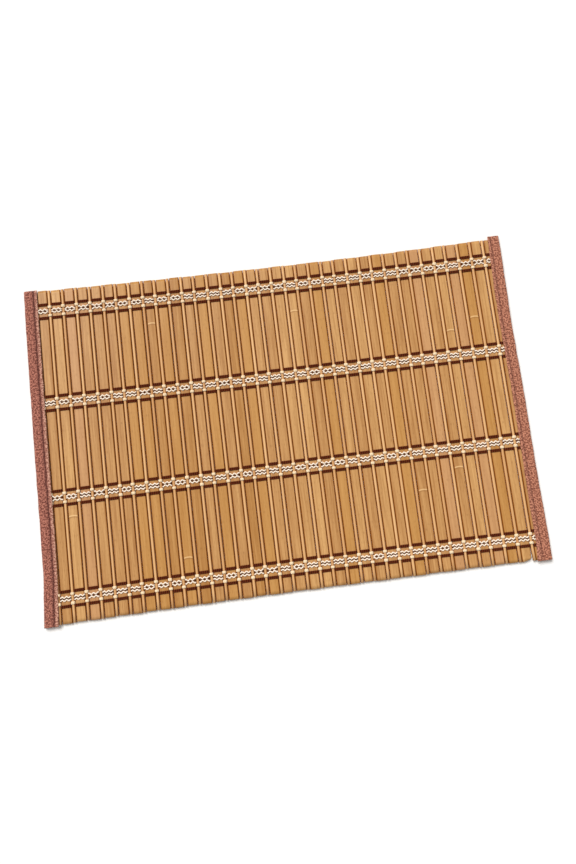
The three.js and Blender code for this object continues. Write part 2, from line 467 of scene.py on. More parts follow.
# Slats: one swept, slightly crowned strip for each, with the low rings of the cane where they show
slats = {
    "shoulder": 0.7,  # how far the sloping edge reaches beside the flat face, in millimetres; it is painted dark, as the cane's darker edge and the shade of the gap
    "bevel": 0.13,  # how much narrower the flat face is than the underside, as a share
    "sides": 14,
    "steps": 100,
    "squareness": 0.22,
    "bow": 0.1 * mm,
    "wander": 0.12 * mm,
    "ringRise": 0.16 * mm,
    "ringReach": 1.8 * mm,
    "chipped": 35,  # the slat whose near right corner is broken off
    "chip": 3.6 * mm,
    "toneDrift": 0.12,
    "seed": 7,
}
slatShades = "mmlpmmmggdgdmgmdgmmllmglmlmgmmpmlpglm"  # from left to right
shadeValues = {  # tone, pink and gold
    "l": (0.85, 0.0, 0.0),
    "m": (0.5, 0.15, 0.1),
    "p": (0.5, 0.9, 0.0),
    "g": (0.45, 0.0, 0.9),
    "d": (0.12, 0.0, 0.5),
}
# Cane rings that show in the photograph: the slat's x and the ring's y, in millimetres
caneRings = [
    (25, 105), (-107, 109), (194, 79), (167, 69), (-194, -59),
    (156, -58), (-95.5, -108), (67, 8), (118, -74.5),
]
farOff = 9.0  # where a ring or band that isn't there lies, in metres


# How far a place is from the middle of the nearest yarn band
def bandDistance(tree, x, y):
    share = calc(tree, "DIVIDE", x, mat["halfLength"] * mm)
    fan = calc(tree, "MULTIPLY_ADD", share, mat["fanBothEnds"], -mat["fanTowardsLeft"])
    row = calc(tree, "DIVIDE", y, calc(tree, "MULTIPLY_ADD", fan, share, 1.0))
    nearest = farOff
    for bandRow in mat["bandRows"]:
        away = calc(tree, "ABSOLUTE", calc(tree, "SUBTRACT", row, bandRow * mm))
        nearest = calc(tree, "MINIMUM", away, nearest)
    return nearest


stripForm = {  # shares go from -0.5 at the near end to 0.5 at the far one
    "ownStep": 3.7,  # how far apart two strips lie in the noise
    "wanderRate": 9.0,
    "bowRate": 14.0,
    "bowApart": 50.0,
    "chipFrom": 0.5,  # across
    "chipBefore": -0.499,
    "bendBefore": -0.455,
    "capFrom": 0.4995,  # beyond this lies only the flat end face
}


# Turns each guide point into a closed strip along Y with a rounded section
def stripTree():
    measures = (
        "Section Width", "Section Height", "Squareness", "Bevel", "Bow", "Wander", "Ring Rise", "Ring Reach",
    )
    tree, given = startTree("strips", ("Sides", "Steps", "Seed"), measures)
    cylinder = addNode(
        tree,
        "GeometryNodeMeshCylinder",
        {"Vertices": given["Sides"], "Side Segments": given["Steps"], "Radius": 1.0, "Depth": 1.0},
        fill_type="NGON",
    )
    x, y, z = splitVector(tree, position(tree))

    def squared(value):
        size = calc(tree, "POWER", calc(tree, "ABSOLUTE", value), given["Squareness"])
        return calc(tree, "MULTIPLY", size, calc(tree, "SIGN", value))

    across = squared(x)
    level = squared(y)
    upShare = calc(tree, "MULTIPLY_ADD", level, 0.5, 0.5)
    drawnIn = calc(tree, "SUBTRACT", 1.0, calc(tree, "MULTIPLY", upShare, given["Bevel"]))
    halfWidth = scaled(tree, given["Section Width"], 0.5)
    halfHeight = scaled(tree, given["Section Height"], 0.5)
    share = scaled(tree, z, -1.0)
    shape = joinVector(
        tree,
        calc(tree, "MULTIPLY", calc(tree, "MULTIPLY", across, drawnIn), halfWidth),
        share,
        calc(tree, "MULTIPLY", level, halfHeight),
    )
    strip = store(tree, cylinder.outputs[0], "across", across)
    strip = store(tree, strip, "upward", y)
    strip = store(tree, strip, "share", share)
    strip = moved(tree, strip, place=shape)
    angles = joinVector(tree, 0.0, 0.0, attribute(tree, "turn"))
    turn = addNode(tree, "FunctionNodeEulerToRotation", {0: angles})
    scale = joinVector(tree, attribute(tree, "widthShare"), attribute(tree, "length"), 1.0)
    points = addNode(tree, "GeometryNodeMeshToPoints", {0: given["Geometry"]})
    copies = addNode(
        tree,
        "GeometryNodeInstanceOnPoints",
        {"Points": points.outputs[0], "Instance": strip, "Rotation": turn.outputs[0], "Scale": scale},
    )
    real = addNode(tree, "GeometryNodeRealizeInstances", {0: copies.outputs[0]}).outputs[0]
    x, y = splitVector(tree, position(tree))[:2]
    own = calc(tree, "MULTIPLY_ADD", attribute(tree, "number"), stripForm["ownStep"], given["Seed"])

    def slow(rate, apart):
        where = joinVector(tree, calc(tree, "ADD", own, apart), calc(tree, "MULTIPLY", y, rate), 0.0)
        return calc(tree, "SUBTRACT", grainNoise(tree, where, 1.0, 1.0), 0.5)

    away = calc(tree, "SUBTRACT", y, attribute(tree, "ringAt"))
    bell = blendNumber(tree, calc(tree, "ABSOLUTE", away), 0.0, given["Ring Reach"], 1.0, 0.0)
    real = store(tree, real, "ringAway", away)
    real = store(tree, real, "bandAway", bandDistance(tree, x, y))
    top = blendNumber(tree, attribute(tree, "upward"), 0.0, 0.5, 0.0, 1.0)
    lift = calc(tree, "MULTIPLY", calc(tree, "MULTIPLY", bell, top), given["Ring Rise"])
    share = attribute(tree, "share")
    across = attribute(tree, "across")
    atCorner = blendNumber(tree, across, stripForm["chipFrom"], 1.0, 0.0, 1.0, smooth=False)
    atLast = blendNumber(tree, share, stripForm["chipBefore"], -0.5, 0.0, 1.0, smooth=False)
    chipped = calc(tree, "MULTIPLY", atCorner, atLast)
    atNearEnd = blendNumber(tree, share, stripForm["bendBefore"], -0.5, 0.0, 1.0)
    bent = calc(tree, "MULTIPLY", atNearEnd, attribute(tree, "bend"))
    wander = slow(stripForm["wanderRate"], 0.0)
    bow = slow(stripForm["bowRate"], stripForm["bowApart"])
    offset = joinVector(
        tree,
        calc(tree, "MULTIPLY_ADD", wander, scaled(tree, given["Wander"], 2.0), bent),
        calc(tree, "MULTIPLY", chipped, attribute(tree, "chip")),
        calc(tree, "MULTIPLY_ADD", bow, scaled(tree, given["Bow"], 2.0), lift),
    )
    real = moved(tree, real, offset=offset)
    notEnd = calc(tree, "LESS_THAN", calc(tree, "ABSOLUTE", share), stripForm["capFrom"])
    return endTree(tree, real, given["Finish"], notEnd)


strips = stripTree()


def ringNear(x):
    for ringX, ringY in caneRings:
        if abs(ringX - x) < mat["slatWidth"]["W"] / 2:
            return ringY * mm
    return farOff


# The guide point of one strip, from its far and near ends and the heights of its two faces
def stripRow(index, x, ends, faces, **own):
    middle = sum(ends) / 2
    row = {
        "at": Vector((x + mat["lean"] * middle, middle, sum(faces) / 2)) * mm,
        "number": index,
        "length": (ends[0] - ends[1]) * mm,
        "turn": -math.atan(mat["lean"]),
        "ringAt": farOff,
        "chip": 0.0,
        "bend": 0.0,
    }
    row.update(own)
    return row


# The rows' strips as one piece, in place of its nodes
def stripPiece(name, rows, form, width, faces, finish, nodes):
    piece = grow(guideObject(name, rows), strips, {
        "Sides": form["sides"],
        "Steps": form["steps"],
        "Section Width": width * mm,
        "Section Height": (faces[0] - faces[1]) * mm,
        "Squareness": form["squareness"],
        "Bevel": form["bevel"],
        "Bow": form["bow"],
        "Wander": form["wander"],
        "Ring Rise": form["ringRise"],
        "Ring Reach": slats["ringReach"],
        "Seed": form["seed"],
        "Finish": finish,
    })
    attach(piece, "root")
    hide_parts(*nodes)


def makeSlats():
    drawn = random.Random(slats["seed"])
    faces = (mat["slatTop"], mat["slatUnderside"])
    rows = []
    fullWidth = mat["slatWidth"]["W"] + 2 * slats["shoulder"]
    for index, letter in enumerate(slatShades):
        x = slatPlace(index)
        far = rowAt(x, mat["slatEnds"][0] + riseAt(x)) + unevenEnd(index, "slatFar")
        near = rowAt(x, mat["slatEnds"][1] + riseAt(x)) + unevenEnd(index, "slatNear")
        tone, pink, gold = shadeValues[letter]
        width = (widthOf(index) + 2 * slats["shoulder"]) / fullWidth
        tone += drawn.uniform(-slats["toneDrift"], slats["toneDrift"])
        looks = {"widthShare": width, "tone": tone, "pink": pink, "gold": gold, "ringAt": ringNear(x)}
        rows.append(stripRow(index, x, (far, near), faces, **looks))
    rows[slats["chipped"]]["chip"] = slats["chip"]
    nodes = [f"slat_{index + 1:02d}" for index in range(len(mat["slatRun"]))]
    stripPiece("slat_set", rows, slats, fullWidth, faces, slatMaterial(), nodes)


# Sticks: a round strip for each, a little wider than its solid so that the gaps are only dark lines
sticks = {
    "sides": 12,
    "steps": 34,
    "extraWidth": 0.85,  # in millimetres
    "widthShares": (0.94, 1.04),
    "tones": (0.2, 1.0),
    "squareness": 1.0,
    "bevel": 0.0,
    "bow": 0.05 * mm,
    "wander": 0.16 * mm,
    "ringRise": 0.0,
    "lastBend": 0.5 * mm,
    "seed": 31,
}


def makeSticks():
    drawn = random.Random(sticks["seed"])
    faces = (mat["stickTop"], mat["stickUnderside"])
    rows = []
    for index, x in enumerate(stickPlaces):
        far = rowAt(x, mat["slatEnds"][0] + riseAt(x) + unevenEnd(index, "stickFar"))
        near = rowAt(x, mat["slatEnds"][1] + riseAt(x) + unevenEnd(index, "stickNear"))
        looks = {"widthShare": drawn.uniform(*sticks["widthShares"]), "tone": drawn.uniform(*sticks["tones"])}
        rows.append(stripRow(index, x, (far, near), faces, **looks))
    rows[-1]["bend"] = sticks["lastBend"]
    width = mat["stickWidth"] + sticks["extraWidth"]
    nodes = ["sticks_and_cream_yarns"]
    stripPiece("stick_set", rows, sticks, width, faces, stickMaterial(), nodes)


strayRate = 220.0  # how fast a thread strays, for each metre


# Yarns: each follows a path of square corners over and under the bamboo, which the tree rounds,
# waves and splits into threads
def yarnTree():
    measures = ("Corner", "Step", "Thread Radius", "Spread", "Lift", "Phase Step", "Turns", "Wave", "Wander")
    tree, given = startTree("yarns", ("Threads", "Sides"), measures)
    curve = addNode(tree, "GeometryNodeMeshToCurve", {0: given["Geometry"]}).outputs[0]
    inputs = {"Curve": curve, "Count": 3, "Radius": given["Corner"], "Limit Radius": True}
    rounded = addNode(tree, "GeometryNodeFilletCurve", inputs, mode="POLY")
    inputs = {"Curve": rounded.outputs[0], "Length": given["Step"]}
    even = addNode(tree, "GeometryNodeResampleCurve", inputs, mode="LENGTH")
    sway = calc(tree, "MULTIPLY", calc(tree, "COSINE", attribute(tree, "phase")), attribute(tree, "swing"))
    sway = calc(tree, "MULTIPLY", sway, given["Wave"])
    curve = moved(tree, even.outputs[0], offset=joinVector(tree, 0.0, sway, 0.0))
    inputs = {"Geometry": curve, "Amount": given["Threads"]}
    threads = addNode(tree, "GeometryNodeDuplicateElements", inputs, domain="SPLINE")
    curve = store(tree, threads.outputs[0], "thread", threads.outputs["Duplicate Index"])
    length = addNode(tree, "GeometryNodeSplineParameter").outputs["Length"]
    curve = store(tree, curve, "along", length)
    ownLength = calc(tree, "ADD", attribute(tree, "along"), attribute(tree, "start"))
    twist = calc(tree, "MULTIPLY", ownLength, scaled(tree, given["Turns"], 2 * math.pi))
    angle = calc(tree, "MULTIPLY_ADD", attribute(tree, "thread"), given["Phase Step"], twist)
    tangent = addNode(tree, "GeometryNodeInputTangent").outputs[0]
    inputs = {0: tangent, 1: (0.0, 1.0, 0.0)}
    up = addNode(tree, "ShaderNodeVectorMath", inputs, operation="CROSS_PRODUCT").outputs[0]
    up = addNode(tree, "ShaderNodeVectorMath", {0: up}, operation="NORMALIZE").outputs[0]
    upX, upY, upZ = splitVector(tree, up)
    x = scaled(tree, splitVector(tree, position(tree))[0], strayRate)
    row = scaled(tree, attribute(tree, "start"), 1 / mm)
    where = joinVector(tree, x, attribute(tree, "thread"), row)
    stray = calc(tree, "MULTIPLY", calc(tree, "SUBTRACT", grainNoise(tree, where), 0.5), given["Wander"])
    fat = attribute(tree, "fat")
    aside = calc(tree, "MULTIPLY_ADD", calc(tree, "COSINE", angle), given["Spread"], stray)
    aside = calc(tree, "MULTIPLY", aside, fat)
    rise = calc(tree, "MULTIPLY", calc(tree, "MULTIPLY", calc(tree, "SINE", angle), given["Lift"]), fat)
    offset = joinVector(
        tree,
        calc(tree, "MULTIPLY", rise, upX),
        calc(tree, "MULTIPLY_ADD", rise, upY, aside),
        calc(tree, "MULTIPLY", rise, upZ),
    )
    curve = moved(tree, curve, offset=offset)
    inputs = {"Resolution": given["Sides"], "Radius": given["Thread Radius"]}
    ring = addNode(tree, "GeometryNodeCurvePrimitiveCircle", inputs)
    x, y = splitVector(tree, position(tree))[:2]
    turn = calc(tree, "ARCTAN2", y, x)
    facing = joinVector(tree, calc(tree, "COSINE", turn), calc(tree, "SINE", turn), 0.0)
    profile = store(tree, ring.outputs[0], "round", facing, "FLOAT_VECTOR")
    inputs = {"Curve": curve, "Profile Curve": profile, "Scale": fat, "Fill Caps": True}
    swept = addNode(tree, "GeometryNodeCurveToMesh", inputs)
    return endTree(tree, swept.outputs[0], given["Finish"])


yarns = yarnTree()

# Tape edges from the far end to the near one: y, outer edge, inner edge
tapeRows = {
    "left": [
        (152.6, -222.2, -209.6), (100, -223, -210.2), (0, -223.8, -210.8), (-70, -224, -211),
        (-112, -224.4, -211.5), (-134, -225.8, -212.6), (-153.6, -227.1, -213.9),
    ],
    "right": [
        (153.6, 227.1, 215.9), (128, 226.8, 215.2), (100, 226.2, 214.2), (68, 225.5, 214),
        (8, 226, 214.6), (-66, 225.4, 213.8), (-110, 225.8, 213.2), (-132, 226, 213.4),
        (-150.2, 225.8, 212.2),
    ],
}


def tapeEdge(side, column, y):
    rows = tapeRows[side]
    for above, below in zip(rows, rows[1:]):
        if y >= below[0]:
            break
    return between(above[column], below[column], (above[0] - y) / (above[0] - below[0]))


def pathGuide(name, paths):
    rows = []
    edges = []
    for path in paths:
        for place, point in enumerate(path):
            if place:
                edges.append((len(rows) - 1, len(rows)))
            rows.append(point)
    return guideObject(name, rows, edges)


# A yarn over each slat and under each stick. phases holds where its wave stands on each slat.
def overSlats(row, yarn, offset=0.0, phases=None):
    high = mat["slatTop"] + yarn["thickness"] / 2
    lean = mat["lean"] * row
    start = tapeEdge("left", 2, row) - yarnTuck
    end = tapeEdge("right", 2, row) + yarnTuck
    path = []

    def add(x, z, phase, swing, fat):
        at = Vector((x, rowAt(x, row + offset), z)) * mm
        path.append({"at": at, "phase": phase, "swing": swing, "fat": fat, "start": (row + offset) * mm})

    for index in range(len(mat["slatRun"])):
        width = widthOf(index)
        left = slatPlace(index) + lean - width / 2 - mat["gapBeside"] / 2
        right = left + width + mat["gapBeside"]
        middle = phases[index] if phases else 0.0
        half = math.pi * (right - left) / waveLength
        first, last = max(left, start), min(right, end)
        if last <= first:
            continue
        if path and first == left:
            add(left, underSticks, middle - half, 0.0, yarn["squeezed"])
        add(first, high, middle - half, 1.0, 1.0)
        add(last, high, middle + half, 1.0, 1.0)
        if last == right and index < len(stickPlaces):
            add(right, underSticks, middle + half, 0.0, yarn["squeezed"])
    return path


# A cream yarn over each stick, where it swells into a bead, and under each slat
def overSticks(row, offset, drawn):
    yarn = creamYarn
    high = mat["stickTop"] + yarn["rise"]
    low = mat["slatUnderside"] - yarn["sink"]
    path = []
    for stick in stickPlaces:
        x = stick + mat["lean"] * row
        bead = drawn.uniform(*yarn["bead"])
        for side, levels in ((-1, (low, high)), (1, (high, low))):
            for level in levels:
                at = x + side * yarn["reach"]
                path.append({
                    "at": Vector((at, rowAt(at, row + offset), level)) * mm,
                    "phase": 0.0,
                    "swing": 0.0,
                    "fat": bead if level == high else yarn["squeezed"],
                    "start": (row + offset) * mm,
                })
    return path


# Yarn sizes in millimetres, with turns for each metre. "squeezed" and "bead" are shares of the width.
yarnTuck = 2.5
underSticks = 0.42
waveLength = 4.25
yarnCorner = 0.45
threadSides = 5
phaseDrift = 0.3
yarnSeed = 11
brownYarn = {
    "offset": 6.3, "threads": 4, "threadRadius": 0.47, "spread": 0.94, "lift": 0.1,
    "phaseStep": math.pi / 3, "step": 1.05, "thickness": 0.9, "squeezed": 0.8, "wander": 0.18,
}
whiteYarn = {
    "offset": 1.3, "shift": 0.2, "threads": 2, "threadRadius": 0.41, "spread": 0.36, "lift": 0.2,
    "phaseStep": math.pi, "step": 0.5, "thickness": 1.2, "squeezed": 0.55, "wave": 0.64, "turns": 330.0,
}
coreYarn = {"threads": 1, "threadRadius": 0.42, "step": 1.0, "thickness": 0.9, "squeezed": 0.9}
creamYarn = {
    "offset": 3.95, "threads": 3, "threadRadius": 0.44, "spread": 0.6, "lift": 0.14,
    "phaseStep": math.pi / 2, "step": 0.75, "squeezed": 0.7, "reach": 1.4, "rise": 0.4, "sink": 0.5,
    "bead": (1.08, 1.34),
}

# How the two white yarns lie on each slat, from left to right in each band: o has two eyes, x one in
# the middle, and in w, v and a they run side by side
whiteFigures = [
    "ooooxxxoowoowwwvoxxxwoowwwxwwxxoxwxxo",
    "wvoxwowwxwoowwxwowvawoowavwwawwwwwavv",
    "wxovxwowwxoowwxowwwoxxowavoxwwwawwwww",
    "wwwxwwwoooxxwowxxwowwwwwowwwwowwxwwwo",
]
figurePhases = {
    "o": (math.pi, 0.0),
    "x": (0.0, math.pi),
    "w": (-1.6, -1.6),
    "v": (1.6, 1.6),
    "a": (0.0, 0.0),
}


def yarnPiece(name, paths, yarn, kind, nodes):
    piece = grow(pathGuide(name, paths), yarns, {
        "Corner": yarnCorner * mm,
        "Step": yarn["step"] * mm,
        "Threads": yarn["threads"],
        "Thread Radius": yarn["threadRadius"] * mm,
        "Spread": yarn.get("spread", 0.0) * mm,
        "Lift": yarn.get("lift", 0.0) * mm,
        "Phase Step": yarn.get("phaseStep", 0.0),
        "Turns": yarn.get("turns", 0.0),
        "Wave": yarn.get("wave", 0.0) * mm,
        "Sides": threadSides,
        "Wander": yarn.get("wander", 0.0) * mm,
        "Finish": yarnMaterial(kind),
    })
    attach(piece, "root")
    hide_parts(*nodes)


def makeYarns():
    brownNodes = [f"brown_yarn_{band}_{side}" for band in range(1, 5) for side in ("far", "near")]
    whiteNodes = [f"white_yarns_{band}" for band in range(1, 5)]
    paths = {"brown": [], "white": [], "core": [], "cream": []}
    drawn = random.Random(yarnSeed)
    for band, row in enumerate(mat["bandRows"]):
        paths["core"].append(overSlats(row, coreYarn, whiteYarn["shift"]))
        for side, sign in enumerate((1, -1)):
            paths["brown"].append(overSlats(row, brownYarn, sign * brownYarn["offset"]))
            paths["cream"].append(overSticks(row, sign * creamYarn["offset"], drawn))
            phases = []
            for letter in whiteFigures[band]:
                phases.append(figurePhases[letter][side] + drawn.uniform(-phaseDrift, phaseDrift))
            offset = whiteYarn["shift"] + sign * whiteYarn["offset"]
            paths["white"].append(overSlats(row, whiteYarn, offset, phases))
    creamNodes = ["sticks_and_cream_yarns"]
    yarnPiece("brown_yarns", paths["brown"], brownYarn, "brown", brownNodes)
    yarnPiece("centre_yarns", paths["core"], coreYarn, "core", whiteNodes)
    yarnPiece("white_yarns", paths["white"], whiteYarn, "white", whiteNodes)
    yarnPiece("cream_yarns", paths["cream"], creamYarn, "cream", creamNodes)


# Folded tapes: a cloth sheet round each short side, pulled down along its stitches. Millimetres.
clothScale = 0.01  # the cloth's own map: one unit is 100 mm
tape = {
    "thickness": 0.9,
    "sectionPoints": 40,
    "rowStep": 0.75,
    "stitchDip": 0.42,
    "edgeStray": 0.3,
    "innerStray": 1.4,  # times edgeStray
    "strayRates": {"outer": 0.09, "inner": 0.12, "groove": 0.16},
    "serration": 0.22,
    "serrationRate": 0.62,
    "grooveStray": 0.35,
    "grooveFloor": 0.6,  # the groove's share between the stitches
    "ripple": 0.1,
    "rippleRates": (0.35, 0.3, 4),  # along, across and which layer of the noise
    "upperFrom": 3,  # the height where the upper leaf starts
    "paleFrom": 1.0,
    "paleWidth": 1.2,
    "endThinning": 0.55,
    "lowest": 0.02,
    "seed": {"left": 3.0, "right": 8.0},
    "stitchRow": {"left": 9.2, "right": 8.6},
    "stitchPitch": {"left": 3.2, "right": 4.0},
    "grooveWidth": {"left": 1.0, "right": 0.65},
    "grooveDepth": {"left": 1.0, "right": 0.75},
}
# The section's middle line from under the mat, round the fold, to the shoulder: reach and height
tapeFoot = [
    (9.0, 0.5), (5.0, 0.48), (1.6, 0.5), (0.75, 0.8), (0.5, 1.5), (0.5, 2.4), (0.8, 3.2), (1.5, 3.65),
]


# Points through the corners on smooth spans, evenly spaced, and the length of the line
def smoothLine(corners, count):
    points = [Vector(corner) for corner in corners]
    spanSteps = 12
    dense = []
    for place in range(len(points) - 1):
        before, first = points[max(place - 1, 0)], points[place]
        second, after = points[place + 1], points[min(place + 2, len(points) - 1)]
        for step in range(spanSteps):
            t = step / spanSteps
            slope = (second - before) * t
            bend = (2 * before - 5 * first + 4 * second - after) * t * t
            twist = (3 * first - before - 3 * second + after) * t ** 3
            dense.append(0.5 * (2 * first + slope + bend + twist))
    dense.append(points[-1])
    runs = [0.0]
    for a, b in zip(dense, dense[1:]):
        runs.append(runs[-1] + (b - a).length)
    line = []
    span = 0
    for place in range(count):
        want = runs[-1] * place / (count - 1)
        while span < len(dense) - 2 and runs[span + 1] < want:
            span += 1
        share = (want - runs[span]) / (runs[span + 1] - runs[span])
        line.append(dense[span].lerp(dense[span + 1], share))
    return line, runs[-1]


def tapeCentre(width, stitchRow):
    upper = [
        (stitchRow * 0.4, 3.86),
        (stitchRow * 0.7, 3.84),
        (stitchRow, 3.7),
        ((stitchRow + width) / 2, 3.95),
        (width, 3.85),
    ]
    return smoothLine(tapeFoot + upper, tape["sectionPoints"])


# The points of one ring of the tape, each with its run along the cloth, its painted groove shade and its pale
# share
def tapeRing(side, y):
    towards = 1 if side == "left" else -1
    rates = tape["strayRates"]
    rippleAlong, rippleAcross, rippleLayer = tape["rippleRates"]
    stitchRow = tape["stitchRow"][side]

    def slow(rate, layer):
        return noise.noise(Vector((y * rate, tape["seed"][side], layer)))

    def wave(pitches):
        return 0.5 + 0.5 * math.cos(2 * math.pi * y / (pitches * tape["stitchPitch"][side]))

    serration = tape["serration"] * slow(tape["serrationRate"], 7)
    outer = tapeEdge(side, 1, y) + tape["edgeStray"] * slow(rates["outer"], 0) + serration
    inner = tapeEdge(side, 2, y) + tape["edgeStray"] * tape["innerStray"] * slow(rates["inner"], 2)
    centre, length = tapeCentre(abs(inner - outer), stitchRow)
    beat = wave(1) * (wave(2) if side == "right" else 1.0)
    deep = between(tape["grooveFloor"], 1.0, beat) * tape["grooveDepth"][side]
    stray = tape["grooveStray"] * slow(rates["groove"], 12)
    outside = []
    inside = []
    for place, point in enumerate(centre):
        along = (centre[min(place + 1, len(centre) - 1)] - centre[max(place - 1, 0)]).normalized()
        half = tape["thickness"] / 2 * (tape["endThinning"] if place in (0, len(centre) - 1) else 1.0)
        z = point.y
        groove = 0.0
        pale = 0.0
        if point.y > tape["upperFrom"]:
            # The groove pulls the cloth down; its depth also sets the painted shade in the groove
            away = (point.x - stitchRow - stray) / tape["grooveWidth"][side]
            groove = math.exp(-away * away) * deep
            spot = Vector((y * rippleAlong, point.x * rippleAcross, rippleLayer))
            z += tape["ripple"] * noise.noise(spot) - tape["stitchDip"] * groove
            pale = min(max((point.x - stitchRow - tape["paleFrom"]) / tape["paleWidth"], 0.0), 1.0)
        run = length * place / (len(centre) - 1)
        for sign, row in ((1, outside), (-1, inside)):
            x = outer + towards * (point.x - sign * along.y * half)
            at = Vector((x, y, max(z + sign * along.x * half, tape["lowest"])))
            row.append((at * mm, run, groove if sign > 0 else 0.0, pale if sign > 0 else 0.0))
    return outside + inside[::-1]


def makeTape(side):
    rows = tapeRows[side]
    count = round((rows[0][0] - rows[-1][0]) / tape["rowStep"])
    vertices = []
    coordinates = []
    colourMasks = {"groove": [], "pale": []}
    for ring in range(count + 1):
        y = between(rows[0][0], rows[-1][0], ring / count)
        for at, run, groove, pale in tapeRing(side, y):
            vertices.append(at)
            coordinates.append((run * clothScale, y * clothScale))
            colourMasks["groove"].append(groove)
            colourMasks["pale"].append(pale)
    around = 2 * tape["sectionPoints"]
    faces = []
    for ring in range(count):
        for place in range(around):
            a, b = ring * around + place, ring * around + (place + 1) % around
            faces.append((a, b, b + around, a + around))
    faces.append(tuple(range(around))[::-1])
    faces.append(tuple(count * around + place for place in range(around)))
    mesh = bpy.data.meshes.new(f"binding_{side}")
    mesh.from_pydata(vertices, [], faces)
    layer = mesh.uv_layers.new(name="cloth")
    for loop in mesh.loops:
        layer.data[loop.index].uv = coordinates[loop.vertex_index]
    for key, values in colourMasks.items():
        mesh.attributes.new(key, "FLOAT", "POINT").data.foreach_set("value", values)
    work = bmesh.new()
    work.from_mesh(mesh)
    bmesh.ops.recalc_face_normals(work, faces=work.faces)
    work.to_mesh(mesh)
    work.free()
    mesh.shade_smooth()
    mesh.materials.append(tapeMaterial(side))
    piece = bpy.data.objects.new(f"binding_{side}", mesh)
    bpy.context.scene.collection.objects.link(piece)
    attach(piece, "root")
    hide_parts(f"tape_{side}")


tapeLook = {
    "left": {"dark": colour(84, 28, 16), "light": colour(190, 122, 102), "paleShare": 0.9},
    "right": {"dark": colour(96, 40, 20), "light": colour(204, 136, 108), "paleShare": 0.1},
    "paleDark": colour(124, 62, 44),
    "paleLight": colour(222, 172, 148),
    # painted shade in the stitch groove and its holes
    "groove": colour(60, 14, 8),
    "grooveShadeShare": 0.95,
    "ribPitch": 1.7,  # in millimetres
    "ribSlant": 0.8,
    "ribShare": 0.25,  # of the relief, the rest is specks
    "speckSize": 1.4,  # in millimetres
    "speckLimits": (0.37, 0.63),
    "roughness": 0.95,
    "relief": 0.3 * mm,
    "reliefShare": 0.7,
}


# A coarse twill: slanting ribs with light and dark specks
def tapeMaterial(side):
    look = tapeLook[side]
    sheen = {"Sheen_Weight": 0.05, "Sheen_Roughness": 0.5}
    made, tree, shader = newMaterial(f"tape_cloth_{side}", tapeLook["roughness"], **sheen)
    place = addNode(tree, "ShaderNodeUVMap", uv_map="cloth").outputs[0]
    x, y = splitVector(tree, place)[:2]
    slant = calc(tree, "MULTIPLY_ADD", y, tapeLook["ribSlant"], x)
    rib = calc(tree, "SINE", scaled(tree, slant, 2 * math.pi / (tapeLook["ribPitch"] * clothScale)))
    rib = calc(tree, "MULTIPLY_ADD", rib, 0.5, 0.5)
    grain = grainNoise(tree, place, 1 / (tapeLook["speckSize"] * clothScale), 1.0)
    speck = blendNumber(tree, grain, *tapeLook["speckLimits"], 0.0, 1.0)
    specks = scaled(tree, speck, 1 - tapeLook["ribShare"])
    height = calc(tree, "MULTIPLY_ADD", rib, tapeLook["ribShare"], specks)
    base = mixColour(tree, height, look["dark"], look["light"])
    pale = scaled(tree, shaderAttribute(tree, "pale")["Fac"], look["paleShare"])
    faded = mixColour(tree, height, tapeLook["paleDark"], tapeLook["paleLight"])
    base = mixColour(tree, pale, base, faded)
    # Painted shade along the stitch groove, darkest at the holes between stitches
    groove = scaled(tree, shaderAttribute(tree, "groove")["Fac"], tapeLook["grooveShadeShare"])
    plug(tree, shader.inputs["Base Color"], mixColour(tree, groove, base, tapeLook["groove"]))
    bump(tree, shader, height, tapeLook)
    return made


# Stitches: short threads that dive into the tape at both ends. "share" is of the pitch.
stitch = {
    "radius": 0.22,
    "share": 0.6,
    "arch": 0.3,
    "steps": 6,
    "sides": 6,
    "upper": 3.72,
    "under": 0.39,
    "underFace": -0.5,  # the lower stitches arch downwards, half as far
    "blunt": 0.1,  # how far a thread's tip is cut short
    "dark": colour(60, 16, 10),
    "light": colour(112, 44, 32),
    "fuzzScale": 2500.0,
    "roughness": 0.9,
    "relief": 0.08 * mm,
    "reliefShare": 0.7,
}


def stitchTree():
    tree, given = startTree("stitches", ("Steps", "Sides"), ("Radius", "Arch"))
    inputs = {"Start": (0.0, -0.5, 0.0), "End": (0.0, 0.5, 0.0)}
    line = addNode(tree, "GeometryNodeCurvePrimitiveLine", inputs)
    inputs = {"Curve": line.outputs[0], "Count": given["Steps"]}
    fine = addNode(tree, "GeometryNodeResampleCurve", inputs)
    y = splitVector(tree, position(tree))[1]
    drop = scaled(tree, calc(tree, "MULTIPLY", y, y), 4.0)
    hump = calc(tree, "MULTIPLY", calc(tree, "SUBTRACT", 1.0, drop), given["Arch"])
    bent = moved(tree, fine.outputs[0], offset=joinVector(tree, 0.0, 0.0, hump))
    points = addNode(tree, "GeometryNodeMeshToPoints", {0: given["Geometry"]}).outputs[0]
    scale = joinVector(tree, 1.0, attribute(tree, "length"), attribute(tree, "face"))
    inputs = {"Points": points, "Instance": bent, "Scale": scale}
    copies = addNode(tree, "GeometryNodeInstanceOnPoints", inputs)
    real = addNode(tree, "GeometryNodeRealizeInstances", {0: copies.outputs[0]}).outputs[0]
    share = addNode(tree, "GeometryNodeSplineParameter").outputs["Factor"]
    blunt = math.pi * stitch["blunt"]
    angle = calc(tree, "MULTIPLY_ADD", share, math.pi - 2 * blunt, blunt)
    taper = calc(tree, "SQRT", calc(tree, "SINE", angle))
    inputs = {"Resolution": given["Sides"], "Radius": given["Radius"]}
    ring = addNode(tree, "GeometryNodeCurvePrimitiveCircle", inputs)
    inputs = {"Curve": real, "Profile Curve": ring.outputs[0], "Scale": taper, "Fill Caps": True}
    swept = addNode(tree, "GeometryNodeCurveToMesh", inputs)
    return endTree(tree, swept.outputs[0], given["Finish"])


stitches = stitchTree()


